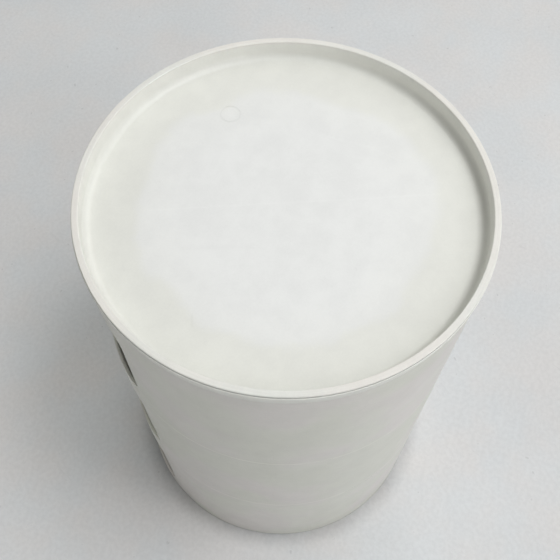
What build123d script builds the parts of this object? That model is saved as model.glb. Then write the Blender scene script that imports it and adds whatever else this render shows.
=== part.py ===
"""Round stacking storage unit: three equal drum tiers with curved sliding doors under a lift-off tray.

Frame: +Z up, origin at the centre of the footprint on the floor, doorways facing -Y. Millimetres.
"""

from build123d import *
import os
from math import cos, radians, sin

# ---------------------------------------------------------------- driving dimensions
TIER_NAMES = ("low", "mid", "top")
TIER_PITCH = 197.0
TRAY_RISE = 19.0
FLOOR_GAP = 1.0

WALL_OUTER_R = 208.0
WALL_THICKNESS = 3.2
WALL_INNER_R = WALL_OUTER_R - WALL_THICKNESS
WALL_TOP_EDGE_R = 0.9
WALL_BOTTOM_EDGE_R = 0.4

DOORWAY_CENTRE = -90.0
DOORWAY_ARC = 112.0
DOORWAY_SILL = 15.0
DOORWAY_HEAD = 161.0
DOORWAY_CORNER_R = 26.0
DOORWAY_EDGE_R = 0.7

DOOR_OUTER_R = 204.3
DOOR_THICKNESS = 2.8
DOOR_INNER_R = DOOR_OUTER_R - DOOR_THICKNESS
DOOR_OVERLAP = 3.0
DOOR_ARC = DOORWAY_ARC + 2 * DOOR_OVERLAP
DOOR_BOTTOM = 5.5
DOOR_TOP = 167.0
DOOR_CORNER_R = 4.0
DOOR_EDGE_R = 0.7
DOOR_TRAVEL = 84.0
FINGER_HOLE_R = 17.0
FINGER_HOLE_HEIGHT = 88.0
FINGER_HOLE_FROM_EDGE = 25.0
# Turn of each door away from closed, as the unit stands: the top one is open.
DOOR_REST_TURN = {"low": 0.0, "mid": 0.0, "top": -DOOR_TRAVEL}

DECK_TOP = 15.0
DECK_THICKNESS = 3.0
RAIL_OUTER_R = 200.9
RAIL_THICKNESS = 3.0
TRACK_OUTER_R = 204.7
TRACK_BED_BOTTOM = 2.0
TRACK_BED_TOP = 5.0
STOP_TOP = 12.0
STOP_ARC = 2.0
STOP_CLEARANCE_ARC = 0.4
STOP_BITE = 0.3
DECK_RIB_COUNT = 8
DECK_RIB_THICKNESS = 2.4
DECK_RIB_DEPTH = 7.0
DECK_HUB_R = 30.0
SPIGOT_OUTER_R = 200.5
SPIGOT_THICKNESS = 3.0
SPIGOT_DEPTH = 14.0

GUIDE_BOTTOM = 163.0
GUIDE_WEB_BOTTOM = 170.5
GUIDE_WEB_THICKNESS = 3.0
GUIDE_COLLAR_R = 201.2
GUIDE_TOP = 190.0

RIM_OUTER_R = 210.0
RIM_INNER_R = 202.4
RIM_EDGE_R = 1.2
LIP_HEIGHT = 3.6
LIP_STEP = 0.7
LIP_STEP_EDGE_R = 0.3
BEAD_HEIGHT = 2.4
BEAD_CHAMFER = 2.0
TRAY_DEPTH = 22.0
TRAY_WALL_FOOT_R = 202.0
TRAY_COVE_R = 8.0
TRAY_THICKNESS = 3.0
GATE_MARK_R = 11.5
GATE_MARK_WIDTH = 2.0
GATE_MARK_DEPTH = 0.3
GATE_MARK_RADIUS = 132.7
GATE_MARK_AZIMUTH = -136.4

FOOT_COUNT = 6
FOOT_PITCH_R = 186.0
FOOT_R = 9.0
FOOT_BOSS_R = 11.0
FOOT_HEIGHT = 3.0
FOOT_EDGE_R = 0.6

BODY_TOP = TIER_PITCH * len(TIER_NAMES)
TOTAL_HEIGHT = BODY_TOP + TRAY_RISE
BACK_AZIMUTH = DOORWAY_CENTRE + 180
DOORWAY_START = DOORWAY_CENTRE - DOORWAY_ARC / 2
DOOR_CLOSED_START = DOORWAY_CENTRE - DOOR_ARC / 2
DOOR_CLOSED_END = DOORWAY_CENTRE + DOOR_ARC / 2
DECK_UNDERSIDE = DECK_TOP - DECK_THICKNESS
RAIL_INNER_R = RAIL_OUTER_R - RAIL_THICKNESS
GUIDE_WEB_TOP = GUIDE_WEB_BOTTOM + GUIDE_WEB_THICKNESS

os.makedirs("parts", exist_ok=True)


def radial_plane(azimuth, height=0.0):
    """Upright plane through the Z axis: local x runs outward at the azimuth, local y runs up."""
    turn = radians(azimuth)
    return Plane(
        origin=(0, 0, height),
        x_dir=(cos(turn), sin(turn), 0),
        z_dir=(sin(turn), -cos(turn), 0),
    )


def facing_plane(azimuth, radius, height):
    """Plane that touches a cylinder about Z at one point and faces outward from it."""
    turn = radians(azimuth)
    outward = (cos(turn), sin(turn), 0)
    return Plane(
        origin=(radius * cos(turn), radius * sin(turn), height),
        x_dir=(-sin(turn), cos(turn), 0),
        z_dir=outward,
    )


def ring_section(inner_r, outer_r, bottom, top):
    """Rectangle from one radius to another and one height to another, in a radial plane's sketch."""
    with Locations(((inner_r + outer_r) / 2, (bottom + top) / 2)):
        Rectangle(outer_r - inner_r, top - bottom)


def is_level(edge):
    """True for a straight edge that runs across the wall, square to the axis."""
    return abs(edge.tangent_at(0).Z) < 0.1


def is_in_front(edge):
    """True for an edge whose middle is on the doorway side of the axis."""
    return edge.center().Y < 0


def lies_on_radius(radius):
    """Test for an edge that lies on the cylinder of this radius about Z."""

    def test(edge):
        points = [edge.position_at(t) for t in (0, 0.25, 0.5, 0.75, 1)]
        return all(abs((p.X**2 + p.Y**2) ** 0.5 - radius) < 0.01 for p in points)

    return test


# ---------------------------------------------------------------- tiers
for level, tier in enumerate(TIER_NAMES):
    base = level * TIER_PITCH
    is_lowest = level == 0

    # Outer wall: a closed tube with one rounded doorway, so the sill and head bands run all the way round.
    wall_bottom = FLOOR_GAP if is_lowest else 0.0
    with BuildPart() as wall:
        with BuildSketch(radial_plane(BACK_AZIMUTH, base)) as wall_section:
            ring_section(WALL_INNER_R, WALL_OUTER_R, wall_bottom, TIER_PITCH)
            outer_corners = wall_section.vertices().group_by(Axis.X)[-1].sort_by(Axis.Y)
            fillet(outer_corners[0], radius=WALL_BOTTOM_EDGE_R)
            fillet(outer_corners[1], radius=WALL_TOP_EDGE_R)
        revolve(axis=Axis.Z)
        with BuildSketch(radial_plane(DOORWAY_START, base)):
            ring_section(RAIL_INNER_R, RIM_OUTER_R, DOORWAY_SILL, DOORWAY_HEAD)
        revolve(axis=Axis.Z, revolution_arc=DOORWAY_ARC, mode=Mode.SUBTRACT)
        fillet(wall.edges().filter_by(GeomType.LINE).filter_by(is_level), radius=DOORWAY_CORNER_R)
        front_edges = wall.edges().filter_by(lies_on_radius(WALL_OUTER_R)).filter_by(is_in_front)
        doorway_edges = front_edges.filter_by_position(Axis.Z, base + DOORWAY_SILL, base + DOORWAY_HEAD)
        fillet(doorway_edges, radius=DOORWAY_EDGE_R)
    wall.part.label = f"wall_{tier}"
    export_step(wall.part, f"parts/wall_{tier}.step")

    # Deck: the tier's floor, with the rail and bed that make the door's lower track with the wall.
    with BuildPart() as deck:
        with BuildSketch(radial_plane(0, base)):
            ring_section(0, RAIL_OUTER_R, DECK_UNDERSIDE, DECK_TOP)
            ring_section(RAIL_INNER_R, RAIL_OUTER_R, TRACK_BED_BOTTOM, DECK_TOP)
            ring_section(RAIL_INNER_R, TRACK_OUTER_R, TRACK_BED_BOTTOM, TRACK_BED_TOP)
            if not is_lowest:
                ring_section(
                    SPIGOT_OUTER_R - SPIGOT_THICKNESS, SPIGOT_OUTER_R, -SPIGOT_DEPTH, TRACK_BED_BOTTOM
                )
        revolve(axis=Axis.Z)
        with BuildSketch(Plane.XY.offset(base + DECK_UNDERSIDE)):
            Circle(DECK_HUB_R)
            Circle(DECK_HUB_R - DECK_RIB_THICKNESS, mode=Mode.SUBTRACT)
            with PolarLocations((DECK_HUB_R + RAIL_INNER_R) / 2, DECK_RIB_COUNT):
                Rectangle(RAIL_INNER_R - DECK_HUB_R + DECK_RIB_THICKNESS, DECK_RIB_THICKNESS)
        extrude(amount=-DECK_RIB_DEPTH)
        if is_lowest:
            with BuildSketch(Plane.XY.offset(base + DECK_UNDERSIDE)):
                with PolarLocations(FOOT_PITCH_R, FOOT_COUNT):
                    Circle(FOOT_BOSS_R)
            extrude(amount=FOOT_HEIGHT - DECK_UNDERSIDE)
        for stop_start in (
            DOOR_CLOSED_END + STOP_CLEARANCE_ARC,
            DOOR_CLOSED_START - DOOR_TRAVEL - STOP_CLEARANCE_ARC - STOP_ARC,
        ):
            with BuildSketch(radial_plane(stop_start, base)):
                ring_section(RAIL_OUTER_R - STOP_BITE, TRACK_OUTER_R, TRACK_BED_TOP, STOP_TOP)
            revolve(axis=Axis.Z, revolution_arc=STOP_ARC)
    deck.part.label = f"deck_{tier}"
    export_step(deck.part, f"parts/deck_{tier}.step")

    # Guide ring: fixed inside the head band; its lip is the door's upper track, its collar seats what
    # is stacked above.
    with BuildPart() as guide_ring:
        with BuildSketch(radial_plane(0, base)):
            ring_section(RAIL_INNER_R, RAIL_OUTER_R, GUIDE_BOTTOM, GUIDE_WEB_TOP)
            ring_section(RAIL_INNER_R, TRACK_OUTER_R, GUIDE_WEB_BOTTOM, GUIDE_WEB_TOP)
            ring_section(GUIDE_COLLAR_R, TRACK_OUTER_R, GUIDE_WEB_BOTTOM, GUIDE_TOP)
        revolve(axis=Axis.Z)
    guide_ring.part.label = f"guide_ring_{tier}"
    export_step(guide_ring.part, f"parts/guide_ring_{tier}.step")

    # Door: a curved panel that runs between rail and wall, with one finger hole.
    door_start = DOOR_CLOSED_START + DOOR_REST_TURN[tier]
    hole_azimuth = door_start + DOOR_ARC - FINGER_HOLE_FROM_EDGE
    with BuildPart() as door:
        with BuildSketch(radial_plane(door_start, base)):
            ring_section(DOOR_INNER_R, DOOR_OUTER_R, DOOR_BOTTOM, DOOR_TOP)
        revolve(axis=Axis.Z, revolution_arc=DOOR_ARC)
        fillet(door.edges().filter_by(GeomType.LINE).filter_by(is_level), radius=DOOR_CORNER_R)
        with BuildSketch(facing_plane(hole_azimuth, DOOR_OUTER_R, base + FINGER_HOLE_HEIGHT)):
            Circle(FINGER_HOLE_R)
        extrude(amount=-2 * DOOR_THICKNESS, both=True, mode=Mode.SUBTRACT)
        fillet(door.edges().filter_by(lies_on_radius(DOOR_OUTER_R)), radius=DOOR_EDGE_R)
    door.part.label = f"door_{tier}"
    export_step(door.part, f"parts/door_{tier}.step")


# ---------------------------------------------------------------- tray
tray_floor = TOTAL_HEIGHT - TRAY_DEPTH
cove_centre_r = TRAY_WALL_FOOT_R - TRAY_COVE_R
cove_centre_z = tray_floor + TRAY_COVE_R
underside_r = TRAY_COVE_R + TRAY_THICKNESS
underside_edge_r = cove_centre_r + (underside_r**2 - (cove_centre_z - BODY_TOP) ** 2) ** 0.5
underside_arc_middle = radians(30)
lip_foot = TOTAL_HEIGHT - LIP_HEIGHT
bead_foot = lip_foot - BEAD_HEIGHT

# Top tray: a shallow dish with a broad rim, a fine ledge round the lip, and a skirt that stands on the tier.
with BuildPart() as top_tray:
    with BuildSketch(radial_plane(0)) as tray_section:
        with BuildLine():
            Line((0, tray_floor), (cove_centre_r, tray_floor))
            CenterArc((cove_centre_r, cove_centre_z), TRAY_COVE_R, -90, 90)
            Polyline(
                (TRAY_WALL_FOOT_R, cove_centre_z),
                (RIM_INNER_R, TOTAL_HEIGHT),
                (RIM_OUTER_R - LIP_STEP, TOTAL_HEIGHT),
                (RIM_OUTER_R - LIP_STEP, lip_foot),
                (RIM_OUTER_R, lip_foot),
                (RIM_OUTER_R, bead_foot),
                (WALL_OUTER_R, bead_foot - BEAD_CHAMFER),
                (WALL_OUTER_R, BODY_TOP),
                (underside_edge_r, BODY_TOP),
            )
            ThreePointArc(
                (underside_edge_r, BODY_TOP),
                (
                    cove_centre_r + underside_r * sin(underside_arc_middle),
                    cove_centre_z - underside_r * cos(underside_arc_middle),
                ),
                (cove_centre_r, cove_centre_z - underside_r),
            )
            Polyline(
                (cove_centre_r, cove_centre_z - underside_r),
                (0, cove_centre_z - underside_r),
                (0, tray_floor),
            )
        make_face()
        rim_corners = tray_section.vertices().group_by(Axis.Y)[-1]
        fillet(rim_corners, radius=RIM_EDGE_R)
        ledge_corner = tray_section.vertices().group_by(Axis.X)[-1].sort_by(Axis.Y)[-1]
        fillet(ledge_corner, radius=LIP_STEP_EDGE_R)
        skirt_corner = tray_section.vertices().sort_by_distance((WALL_OUTER_R, BODY_TOP))[0]
        fillet(skirt_corner, radius=WALL_BOTTOM_EDGE_R)
    revolve(axis=Axis.Z)
    # The spigot starts inside the cove's thickness, so it never breaks through the dish above.
    with BuildSketch(radial_plane(0)):
        ring_section(
            SPIGOT_OUTER_R - SPIGOT_THICKNESS, SPIGOT_OUTER_R, BODY_TOP - SPIGOT_DEPTH, tray_floor
        )
    revolve(axis=Axis.Z)
    with BuildSketch(Plane.XY.offset(tray_floor)):
        with PolarLocations(GATE_MARK_RADIUS, 1, start_angle=GATE_MARK_AZIMUTH):
            Circle(GATE_MARK_R)
            Circle(GATE_MARK_R - GATE_MARK_WIDTH, mode=Mode.SUBTRACT)
    extrude(amount=-GATE_MARK_DEPTH, mode=Mode.SUBTRACT)
top_tray.part.label = "top_tray"
export_step(top_tray.part, "parts/top_tray.step")


# ---------------------------------------------------------------- feet
with BuildPart() as foot_pads:
    with BuildSketch(Plane.XY):
        with PolarLocations(FOOT_PITCH_R, FOOT_COUNT):
            Circle(FOOT_R)
    extrude(amount=FOOT_HEIGHT)
    fillet(foot_pads.edges().group_by(Axis.Z)[0], radius=FOOT_EDGE_R)
foot_pads.part.label = "foot_pads"
export_step(foot_pads.part, "parts/foot_pads.step")
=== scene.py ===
"""Looks for the round stacking storage unit: off-white moulded plastic on a pale studio floor. Metres."""

from collections import namedtuple
from math import cos, radians, sin

import bpy
from mathutils import Matrix, Vector


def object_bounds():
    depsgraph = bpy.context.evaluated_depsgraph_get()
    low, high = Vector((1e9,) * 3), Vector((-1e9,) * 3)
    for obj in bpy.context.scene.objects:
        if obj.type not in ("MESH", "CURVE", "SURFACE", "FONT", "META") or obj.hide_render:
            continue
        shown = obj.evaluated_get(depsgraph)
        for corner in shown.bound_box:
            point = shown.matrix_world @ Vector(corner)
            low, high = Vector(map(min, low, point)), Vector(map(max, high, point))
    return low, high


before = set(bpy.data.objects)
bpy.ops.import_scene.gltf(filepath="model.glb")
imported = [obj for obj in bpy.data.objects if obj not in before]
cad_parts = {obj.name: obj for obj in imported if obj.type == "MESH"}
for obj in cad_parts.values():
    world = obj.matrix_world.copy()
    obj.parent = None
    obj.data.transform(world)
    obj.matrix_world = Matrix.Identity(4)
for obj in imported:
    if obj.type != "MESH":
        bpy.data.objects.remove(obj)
cad_low, cad_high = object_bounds()

# A noise made into a mask or a change of tone: its scale, the span of the noise that is used, what the two
# ends of that span become, and the noise's own detail and roughness.
Mottle = namedtuple("Mottle", "scale low high to_low to_high detail roughness", defaults=(4.0, 0.55))

# ---------------------------------------------------------------- sizes of the unit
TIERS = ("low", "mid", "top")
TIER_HEIGHT = 0.197
WALL_OUTER = 0.208
RIM_OUTER = cad_high.x
RIM_INNER = RIM_OUTER - 0.0076
LIP_OUTER = RIM_OUTER - 0.0007
LIP_FOOT = cad_high.z - 0.0036

# ---------------------------------------------------------------- plastic of all mouldings
PLASTIC_IOR = 1.5
PLASTIC_GRAIN = Mottle(420.0, 0.25, 0.75, -0.010, 0.010, detail=2.0)
PLASTIC_PATCHES = Mottle(32.0, 0.32, 0.68, -0.022, 0.022, detail=6.0, roughness=0.62)
PLASTIC_SATIN = Mottle(11.0, 0.30, 0.70, -0.04, 0.05, detail=5.0)

# Fine scratches run three ways: level directions in degrees from +X, the first along the tray's streaks.
SCRATCH_DIRECTIONS = (105.0, 129.0, 35.0)
SCRATCHES = Mottle(22.0, 0.58, 0.70, 0.0, 1.0, detail=7.0, roughness=0.68)
SCRATCH_STRETCH = 26.0
SCRATCH_TONE = -0.014
SCRATCH_ROUGHNESS = 0.05

# Orange-peel skin and slow waviness: scale, detail and depth.
SKIN = (950.0, 2.0, 0.00004)
WAVES = (9.0, 1.0, 0.0003)

# ---------------------------------------------------------------- tiers and doors
SHELL_COLOUR = (0.742, 0.747, 0.676)
SHELL_BLUSH = (0.765, 0.738, 0.706)
SHELL_TINT = Mottle(9.0, 0.38, 0.62, 0.0, 1.0, detail=2.0)
SHELL_ROUGHNESS = 0.36

# Painted shade darkens the lowest tier a little towards the floor, and wear dulls its foot.
FOOT_DRIFT = Mottle(30.0, 0.3, 0.7, -0.012, 0.012)
LOW_SHADE_FADE = (0.0, 0.19)
LOW_SHADE_TONE = -0.030
DULL_FADE = (0.002, 0.055)
DULL_ROUGHNESS = 0.10

# The rounded edges at the two seams get a painted highlight and are worn smooth, on the outside only.
OUTSIDE_FADE = (WALL_OUTER - 0.0015, WALL_OUTER - 0.0008)
SEAM_HEIGHTS = (TIER_HEIGHT - 0.0004, 2 * TIER_HEIGHT - 0.0004)
SEAM_HALF = 0.0020
SEAM_PATCHES = Mottle(14.0, 0.34, 0.62, 0.40, 1.0)
SEAM_GLINT_TONE = 0.22
SEAM_ROUGHNESS = -0.08

# ---------------------------------------------------------------- tray
DISH_CENTRE_COLOUR = (0.847, 0.855, 0.846)
DISH_EDGE_COLOUR = (0.805, 0.81, 0.762)
# The inner wall is given a lighter colour than the dish's floor of the same moulding: painted light
# standing in for light bounced round the recess.
DISH_WALL_COLOUR = (0.885, 0.885, 0.835)
RIM_COLOUR = (0.818, 0.826, 0.784)
RIM_BLUSH = (0.838, 0.818, 0.772)
RIM_TINT = Mottle(5.0, 0.40, 0.60, 0.0, 1.0, detail=1.0)
DISH_ROUGHNESS = 0.42

# The dish is a little cleaner and cooler in the middle. Part of the change to the band beside the wall is a
# soft step and the rest is a slow fade: radii where each begins and ends, then its share.
DISH_DRIFT = Mottle(16.0, 0.3, 0.7, -0.008, 0.008)
DISH_STEP = (0.142, 0.158, 0.0, 0.62)
DISH_FADE = (0.09, 0.188, 0.0, 0.38)

# Faint marks on the dish: where each begins and ends, its half width, and how much lighter or darker it is.
DISH_MARKS = (
    ((0.044, -0.128), (-0.061, 0.145), 0.0020, 0.016),
    ((-0.098, 0.020), (-0.098, 0.061), 0.0022, 0.012),
    ((-0.098, 0.061), (-0.090, 0.097), 0.0022, 0.012),
    ((0.077, -0.084), (0.053, -0.015), 0.0045, -0.012),
    ((0.142, -0.049), (0.152, -0.045), 0.0024, -0.030),
    ((0.048, 0.084), (0.050, 0.085), 0.0018, -0.030),
    ((0.073, 0.066), (0.074, 0.067), 0.0016, -0.025),
)

# A wide smudge on the band: its centre, and the distance over which its tone fades.
DISH_SMUDGE = (0.083, -0.143)
SMUDGE_FADE = (0.03, 0.24, -0.040, 0.0)

# Round moulding mark: a dark line and a lighter middle.
GATE_MARK = (-0.0961, -0.0915)
GATE_MARK_RADIUS = 0.0105
GATE_LINE_HALF = 0.0016
GATE_LINE_TONE = -0.040
GATE_MIDDLE_TONE = 0.012

# Fine turned lines that run round the rim and wander slowly across it.
TURNED_LINES = Mottle(760.0, 0.34, 0.66, -0.030, 0.018, detail=3.0)
TURNED_WANDER_SCALE = 6.0
TURNED_WANDER = 0.012

# Heights, from the lip's foot, between which each part of the tray fades in.
DISH_WALL_FADE = (-0.0165, -0.0085)
TURNED_FADE = (-0.0080, 0.0)
RIM_FADE = (0.0005, 0.0028)
CORNER_FADE = (0.0020, 0.0030)

# Worn corners of the rim: half width of each, tone and roughness.
INNER_CORNER_HALF = 0.0013
OUTER_CORNER_HALF = 0.0010
CORNER_TONE = 0.02
CORNER_ROUGHNESS = -0.08

# Painted shade on the lip's side and a painted highlight on the ledge under it: heights from the lip's foot
# and radii from the lip's outside, each with its blur where it has one.
LIP_HEIGHTS = (0.0, 0.0022, 0.0002)
LIP_RADII = (-0.0006, 0.0002, 0.0001)
LIP_SHADE_TONE = -0.40
LEDGE_HEIGHTS = (-0.0004, 0.0003, 0.0001)
LEDGE_RADII = (0.0001, 0.0003)
LEDGE_HIGHLIGHT_TONE = 0.08

# ---------------------------------------------------------------- foot rubber
RUBBER_DARK = (0.02, 0.02, 0.02)
RUBBER_LIGHT = (0.05, 0.05, 0.05)
RUBBER_SCALE = 160.0
RUBBER_ROUGHNESS = (0.3, 0.7, 0.65, 0.85)
RUBBER_DEPTH = 0.0002

# ---------------------------------------------------------------- floor
FLOOR_RADIUS = 6.0
FLOOR_SIDES = 128
FLOOR_COOL = (0.715, 0.735, 0.750)
FLOOR_WARM = (0.742, 0.733, 0.730)
FLOOR_TINT = Mottle(6.0, 0.35, 0.65, 0.0, 1.0, detail=3.0)
FLOOR_CLOUDS = Mottle(4.0, 0.3, 0.7, -0.020, 0.020, detail=6.0)
FLOOR_GRAIN = Mottle(150.0, 0.3, 0.7, -0.030, 0.030)
FLOOR_DEPTH = 0.0004
FLOOR_SPECKS = Mottle(75.0, 0.70, 0.76, 0.0, -0.16, detail=2.0)
FLOOR_SCUFFS = Mottle(9.0, 0.66, 0.72, 0.0, -0.07, detail=6.0, roughness=0.6)
SCUFF_DIRECTION = 60.0
SCUFF_STRETCH = 9.0
FLOOR_SATIN = Mottle(20.0, 0.3, 0.7, 0.62, 0.80, detail=3.0)

# Painted contact shadow round the unit's foot: the radii over which its tone fades, and its patchiness.
CONTACT_SHADOW_FADE = (WALL_OUTER - 0.004, WALL_OUTER + 0.030, -0.30, 0.0)
CONTACT_SHADOW_PATCHES = Mottle(18.0, 0.3, 0.7, 0.82, 1.12, detail=3.0)

# ---------------------------------------------------------------- light and camera
# Square lights: name, azimuth and elevation in degrees, distance, side, power and colour.
LIGHTS = (
    ("key", 98.0, 68.0, 6.0, 1.9, 131.0, (0.985, 0.99, 1.0)),
    ("side_fill", 60.0, 40.0, 7.0, 6.2, 220.0, (1.0, 1.0, 1.0)),
    ("far_fill", 172.0, 46.0, 7.0, 6.2, 181.0, (1.0, 0.995, 0.965)),
    ("back_fill", 285.0, 40.0, 7.0, 6.2, 84.0, (1.0, 1.0, 0.94)),
)

# The backdrop glows softly along the horizon and is dim overhead: sine of the elevation, then strength.
SKY_RAMP = (0.0, 0.18, 0.43, 0.02)
SKY_COLOUR = (0.97, 0.99, 1.0, 1.0)

CAMERA_AZIMUTH = 15.2
CAMERA_REACH = 0.4397
CAMERA_HEIGHT = 1.2444
CAMERA_PITCH = 61.526
CAMERA_HEADING = 105.815
CAMERA_ROLL = 1.188
CAMERA_LENS = 50.45


# ---------------------------------------------------------------- shader helpers
class Graph:
    """A material's node graph, with short calls for the few nodes these surfaces use."""

    def __init__(self, name):
        self.material = bpy.data.materials.new(name)
        self.material.use_nodes = True
        self.tree = self.material.node_tree
        self.shader = self.tree.nodes["Principled BSDF"]

    def node(self, kind, inputs=(), **settings):
        """Adds a node; inputs are (socket, value) pairs: a value is a number, a tuple or another socket."""
        made = self.tree.nodes.new(kind)
        for key, value in settings.items():
            setattr(made, key, value)
        for socket, value in inputs:
            if isinstance(value, bpy.types.NodeSocket):
                self.tree.links.new(value, made.inputs[socket])
            else:
                made.inputs[socket].default_value = value
        return made

    def set(self, socket, value):
        self.tree.links.new(value, self.shader.inputs[socket])

    def position(self, scale=(1.0, 1.0, 1.0)):
        """Object coordinates in metres, times a factor on each axis."""
        coordinates = self.node("ShaderNodeTexCoord").outputs["Object"]
        return self.node("ShaderNodeMapping", (("Vector", coordinates), ("Scale", scale))).outputs["Vector"]

    def along(self, direction, stretch):
        """Object coordinates squeezed across one level direction, so that noise over them runs along it."""
        turned = (0.0, 0.0, radians(-direction))
        turn = self.node("ShaderNodeMapping", (("Vector", self.position()), ("Rotation", turned)))
        inputs = (("Vector", turn.outputs["Vector"]), ("Scale", (1.0, stretch, 1.0)))
        return self.node("ShaderNodeMapping", inputs).outputs["Vector"]

    def radius(self, centre=(0.0, 0.0)):
        """Distance seen from above from a centre, which is the unit's axis unless another is given."""
        inputs = ((0, self.position((1.0, 1.0, 0.0))), (1, (*centre, 0.0)))
        return self.node("ShaderNodeVectorMath", inputs, operation="DISTANCE").outputs["Value"]

    def height(self):
        return self.node("ShaderNodeSeparateXYZ", ((0, self.position()),)).outputs["Z"]

    def noise(self, vector, scale, detail=4.0, roughness=0.55):
        inputs = (("Vector", vector), ("Scale", scale), ("Detail", detail), ("Roughness", roughness))
        return self.node("ShaderNodeTexNoise", inputs).outputs["Fac"]

    def ramp(self, value, low, high, to_low=0.0, to_high=1.0):
        """Maps a value smoothly from one range to another and holds it there."""
        span = (("From Min", low), ("From Max", high), ("To Min", to_low), ("To Max", to_high))
        inputs = (("Value", value), *span)
        made = self.node("ShaderNodeMapRange", inputs, clamp=True, interpolation_type="SMOOTHSTEP")
        return made.outputs["Result"]

    def mottle(self, recipe, vector=None):
        """A noise, over object coordinates unless another vector is given, mapped as its recipe says."""
        vector = self.position() if vector is None else vector
        made = self.noise(vector, recipe.scale, recipe.detail, recipe.roughness)
        return self.ramp(made, recipe.low, recipe.high, recipe.to_low, recipe.to_high)

    def maths(self, operation, first, second=0.0):
        return self.node("ShaderNodeMath", ((0, first), (1, second)), operation=operation).outputs["Value"]

    def times(self, value, factor):
        return self.maths("MULTIPLY", value, factor)

    def total(self, *values):
        result = values[0]
        for value in values[1:]:
            result = self.maths("ADD", result, value)
        return result

    def both(self, *masks):
        result = masks[0]
        for mask in masks[1:]:
            result = self.times(result, mask)
        return result

    def between(self, value, low, high, blur):
        """1 while the value is between low and high, with soft ends."""
        risen = self.ramp(value, low - blur, low + blur)
        return self.both(risen, self.ramp(value, high - blur, high + blur, 1.0, 0.0))

    def band(self, value, centre, half):
        """1 where the value is at the centre, falling to 0 at half a band's width from it."""
        away = self.maths("ABSOLUTE", self.maths("SUBTRACT", value, centre))
        return self.ramp(away, 0.0, half, 1.0, 0.0)

    def stroke(self, start, end, half):
        """1 along a straight mark seen from above, falling to 0 at its half width."""
        first, along = Vector((*start, 0.0)), Vector((*end, 0.0)) - Vector((*start, 0.0))
        flat = self.position((1.0, 1.0, 0.0))
        offset = self.node("ShaderNodeVectorMath", ((0, flat), (1, first)), operation="SUBTRACT").outputs[0]
        inputs = ((0, offset), (1, along / along.length_squared))
        share = self.node("ShaderNodeVectorMath", inputs, operation="DOT_PRODUCT").outputs["Value"]
        share = self.node("ShaderNodeClamp", (("Value", share),)).outputs["Result"]
        inputs = ((0, tuple(along)), ("Scale", share))
        nearest = self.node("ShaderNodeVectorMath", inputs, operation="SCALE").outputs[0]
        inputs = ((0, offset), (1, nearest))
        away = self.node("ShaderNodeVectorMath", inputs, operation="DISTANCE").outputs["Value"]
        return self.ramp(away, 0.0, half, 1.0, 0.0)

    def mix(self, factor, first, second):
        """Colour that goes from first to second as the factor rises."""
        colours = [(*c, 1.0) if isinstance(c, tuple) else c for c in (first, second)]
        inputs = ((0, factor), (6, colours[0]), (7, colours[1]))
        return self.node("ShaderNodeMix", inputs, data_type="RGBA").outputs[2]

    def shade(self, colour, tone):
        """The colour made lighter or darker by a factor near 1."""
        inputs = ((0, colour), ("Scale", tone))
        return self.node("ShaderNodeVectorMath", inputs, operation="SCALE").outputs[0]

    def bump(self, height, distance, below=None):
        inputs = [("Strength", 1.0), ("Distance", distance), ("Height", height)]
        if below is not None:
            inputs.append(("Normal", below))
        return self.node("ShaderNodeBump", inputs).outputs["Normal"]


def finish_plastic(g, colour, tone, roughness, wear):
    """Sets what all the mouldings share: grained tone, satin roughness, scratches, skin and waviness."""
    masks = [g.mottle(SCRATCHES, g.along(direction, SCRATCH_STRETCH)) for direction in SCRATCH_DIRECTIONS]
    scratches = g.total(*masks)
    changes = (g.mottle(PLASTIC_GRAIN), g.mottle(PLASTIC_PATCHES), g.times(scratches, SCRATCH_TONE))
    g.set("Base Color", g.shade(colour, g.total(tone, *changes)))
    worn = g.total(g.mottle(PLASTIC_SATIN), wear)
    g.set("Roughness", g.total(roughness, worn, g.times(scratches, SCRATCH_ROUGHNESS)))
    normal = None
    for scale, detail, depth in (SKIN, WAVES):
        normal = g.bump(g.noise(g.position(), scale, detail), depth, below=normal)
    g.set("Normal", normal)
    g.shader.inputs["IOR"].default_value = PLASTIC_IOR
    return g.material


def shell_plastic(name):
    """Off-white plastic of the tiers and doors: faint patches, seams worn smooth with a painted highlight,
    and painted shade near the floor.
    """
    g = Graph(name)
    foot = g.total(g.height(), g.mottle(FOOT_DRIFT))
    seams = g.total(*[g.band(g.height(), seam, SEAM_HALF) for seam in SEAM_HEIGHTS])
    seam_glint_and_rub = g.both(seams, g.ramp(g.radius(), *OUTSIDE_FADE), g.mottle(SEAM_PATCHES))
    # The tone is darker towards the floor as painted shade, and lighter at the seams as a painted
    # highlight.
    tone = g.total(g.ramp(foot, *LOW_SHADE_FADE, LOW_SHADE_TONE, 0.0), g.times(seam_glint_and_rub, SEAM_GLINT_TONE), 1.0)
    wear = g.total(g.ramp(foot, *DULL_FADE, DULL_ROUGHNESS, 0.0), g.times(seam_glint_and_rub, SEAM_ROUGHNESS))
    colour = g.mix(g.mottle(SHELL_TINT), SHELL_COLOUR, SHELL_BLUSH)
    return finish_plastic(g, colour, tone, SHELL_ROUGHNESS, wear)


def above_lip_foot(g, fade):
    """Mask that fades in between two heights measured from the foot of the tray's lip."""
    low, high = fade
    return g.ramp(g.height(), LIP_FOOT + low, LIP_FOOT + high)


def strip(g, value, origin, span):
    """1 where the value is inside a span measured from an origin: the span is two ends and their blur."""
    low, high, blur = span
    return g.between(value, origin + low, origin + high, blur)


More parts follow.
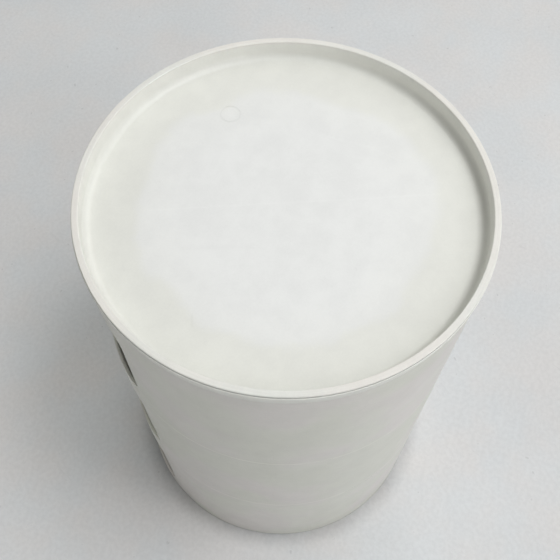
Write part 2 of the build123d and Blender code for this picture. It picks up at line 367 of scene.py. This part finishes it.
def dish_marks(g, flat_band):
    """Changes of tone on the tray: faint strokes, the moulding mark, the rim's turned lines, the smudge."""
    marks = [g.times(g.stroke(start, end, half), tone) for start, end, half, tone in DISH_MARKS]
    gate = g.radius(GATE_MARK)
    marks.append(g.times(g.band(gate, GATE_MARK_RADIUS, GATE_LINE_HALF), GATE_LINE_TONE))
    marks.append(g.ramp(gate, 0.0, GATE_MARK_RADIUS, GATE_MIDDLE_TONE, 0.0))
    wander = g.times(g.noise(g.position(), TURNED_WANDER_SCALE), TURNED_WANDER)
    rings = g.node("ShaderNodeCombineXYZ", (("X", g.radius()), ("Y", wander))).outputs["Vector"]
    marks.append(g.both(g.mottle(TURNED_LINES, rings), above_lip_foot(g, TURNED_FADE)))
    marks.append(g.both(flat_band, g.ramp(g.radius(DISH_SMUDGE), *SMUDGE_FADE)))
    return marks


def dish_plastic(name):
    """Off-white plastic of the tray: clean middle, warmer band by the wall, inner wall lightened as painted
    light, faint marks, painted shade on the lip's side and a painted highlight under it.
    """
    g = Graph(name)
    radius = g.total(g.radius(), g.mottle(DISH_DRIFT))
    band = g.total(g.ramp(radius, *DISH_STEP), g.ramp(radius, *DISH_FADE))
    wall = above_lip_foot(g, DISH_WALL_FADE)
    marks = dish_marks(g, g.both(g.maths("SUBTRACT", 1.0, wall), band))

    inner_corner = g.band(g.radius(), RIM_INNER, INNER_CORNER_HALF)
    outer_corner = g.band(g.radius(), LIP_OUTER, OUTER_CORNER_HALF)
    worn = g.both(g.maths("MAXIMUM", inner_corner, outer_corner), above_lip_foot(g, CORNER_FADE))
    lip = g.both(strip(g, g.height(), LIP_FOOT, LIP_HEIGHTS), strip(g, g.radius(), LIP_OUTER, LIP_RADII))
    past_lip = g.ramp(g.radius(), *[LIP_OUTER + offset for offset in LEDGE_RADII])
    ledge = g.both(strip(g, g.height(), LIP_FOOT, LEDGE_HEIGHTS), past_lip)
    # Painted shade on the lip's side, a painted highlight on the ledge, and lighter worn corners.
    edges = (g.times(lip, LIP_SHADE_TONE), g.times(ledge, LEDGE_HIGHLIGHT_TONE), g.times(worn, CORNER_TONE))

    # The inner wall's lighter colour is painted light.
    colour = g.mix(wall, g.mix(band, DISH_CENTRE_COLOUR, DISH_EDGE_COLOUR), DISH_WALL_COLOUR)
    rim_colour = g.mix(g.mottle(RIM_TINT), RIM_COLOUR, RIM_BLUSH)
    colour = g.mix(above_lip_foot(g, RIM_FADE), colour, rim_colour)
    tone = g.total(*marks, *edges, 1.0)
    return finish_plastic(g, colour, tone, DISH_ROUGHNESS, g.times(worn, CORNER_ROUGHNESS))


def foot_rubber(name):
    """Dark grained rubber of the foot pads."""
    g = Graph(name)
    grain = g.noise(g.position(), RUBBER_SCALE)
    g.set("Base Color", g.mix(grain, RUBBER_DARK, RUBBER_LIGHT))
    g.set("Roughness", g.ramp(grain, *RUBBER_ROUGHNESS))
    g.set("Normal", g.bump(grain, RUBBER_DEPTH))
    return g.material


def floor_concrete(name):
    """Pale floor: cool and warm clouds, grain, specks, scuffs, and a painted contact shadow round the
    unit's foot.
    """
    g = Graph(name)
    scuffs = g.mottle(FLOOR_SCUFFS, g.along(SCUFF_DIRECTION, SCUFF_STRETCH))
    # A painted contact shadow darkens the floor round the unit's foot.
    contact_shadow = g.both(g.ramp(g.radius(), *CONTACT_SHADOW_FADE), g.mottle(CONTACT_SHADOW_PATCHES))
    tone = g.total(g.mottle(FLOOR_CLOUDS), g.mottle(FLOOR_GRAIN), g.mottle(FLOOR_SPECKS), scuffs, contact_shadow, 1.0)
    g.set("Base Color", g.shade(g.mix(g.mottle(FLOOR_TINT), FLOOR_COOL, FLOOR_WARM), tone))
    g.set("Normal", g.bump(g.noise(g.position(), FLOOR_GRAIN.scale, FLOOR_GRAIN.detail), FLOOR_DEPTH))
    g.set("Roughness", g.mottle(FLOOR_SATIN))
    return g.material


# ---------------------------------------------------------------- materials on the CAD nodes
def dress(node, material):
    """Puts one material on a CAD node in place of its own."""
    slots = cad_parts[node].data.materials
    slots.clear()
    slots.append(material)


shell = shell_plastic("shell_plastic")
for tier in TIERS:
    for kind in ("wall", "deck", "guide_ring", "door"):
        dress(f"{kind}_{tier}", shell)
dress("top_tray", dish_plastic("dish_plastic"))
dress("foot_pads", foot_rubber("foot_rubber"))


# ---------------------------------------------------------------- floor
def make_floor():
    """A level disc under the unit, so that its far edge looks the same from every side."""
    mesh = bpy.data.meshes.new("studio_floor")
    turns = [radians(360.0 * count / FLOOR_SIDES) for count in range(FLOOR_SIDES)]
    corners = [(FLOOR_RADIUS * cos(turn), FLOOR_RADIUS * sin(turn), 0.0) for turn in turns]
    mesh.from_pydata(corners, [], [tuple(range(FLOOR_SIDES))])
    mesh.materials.append(floor_concrete("floor_concrete"))
    floor = bpy.data.objects.new("studio_floor", mesh)
    bpy.context.scene.collection.objects.link(floor)


make_floor()


# ---------------------------------------------------------------- studio
def soft_light(name, azimuth, elevation, distance, size, power, colour):
    """Square area light that looks at the middle of the unit."""
    target = Vector((0.0, 0.0, cad_high.z / 2))
    a, e = radians(azimuth), radians(elevation)
    outward = Vector((cos(a) * cos(e), sin(a) * cos(e), sin(e)))
    data = bpy.data.lights.new(name, "AREA")
    data.size = size
    data.energy = power
    data.color = colour
    light = bpy.data.objects.new(name, data)
    light.location = target + outward * distance
    light.rotation_euler = outward.to_track_quat("Z", "Y").to_euler()
    bpy.context.scene.collection.objects.link(light)


for values in LIGHTS:
    soft_light(*values)

world = bpy.data.worlds.new("studio")
world.use_nodes = True
sky = world.node_tree
direction = sky.nodes.new("ShaderNodeTexCoord")
split = sky.nodes.new("ShaderNodeSeparateXYZ")
glow = sky.nodes.new("ShaderNodeMapRange")
glow.interpolation_type = "SMOOTHSTEP"
for socket, value in zip(("From Min", "From Max", "To Min", "To Max"), SKY_RAMP):
    glow.inputs[socket].default_value = value
sky.links.new(direction.outputs["Generated"], split.inputs["Vector"])
sky.links.new(split.outputs["Z"], glow.inputs["Value"])
sky.links.new(glow.outputs["Result"], sky.nodes["Background"].inputs["Strength"])
sky.nodes["Background"].inputs["Color"].default_value = SKY_COLOUR
bpy.context.scene.world = world
bpy.context.scene.view_settings.view_transform = "Standard"

camera_data = bpy.data.cameras.new("camera")
camera_data.lens = CAMERA_LENS
camera = bpy.data.objects.new("camera", camera_data)
bpy.context.scene.collection.objects.link(camera)
azimuth = radians(CAMERA_AZIMUTH)
place = Vector((CAMERA_REACH * cos(azimuth), CAMERA_REACH * sin(azimuth), CAMERA_HEIGHT))
camera.matrix_world = (
    Matrix.Translation(place)
    @ Matrix.Rotation(radians(CAMERA_HEADING), 4, "Z")
    @ Matrix.Rotation(radians(90.0 - CAMERA_PITCH), 4, "X")
    @ Matrix.Rotation(radians(CAMERA_ROLL), 4, "Z")
)
bpy.context.scene.camera = camera
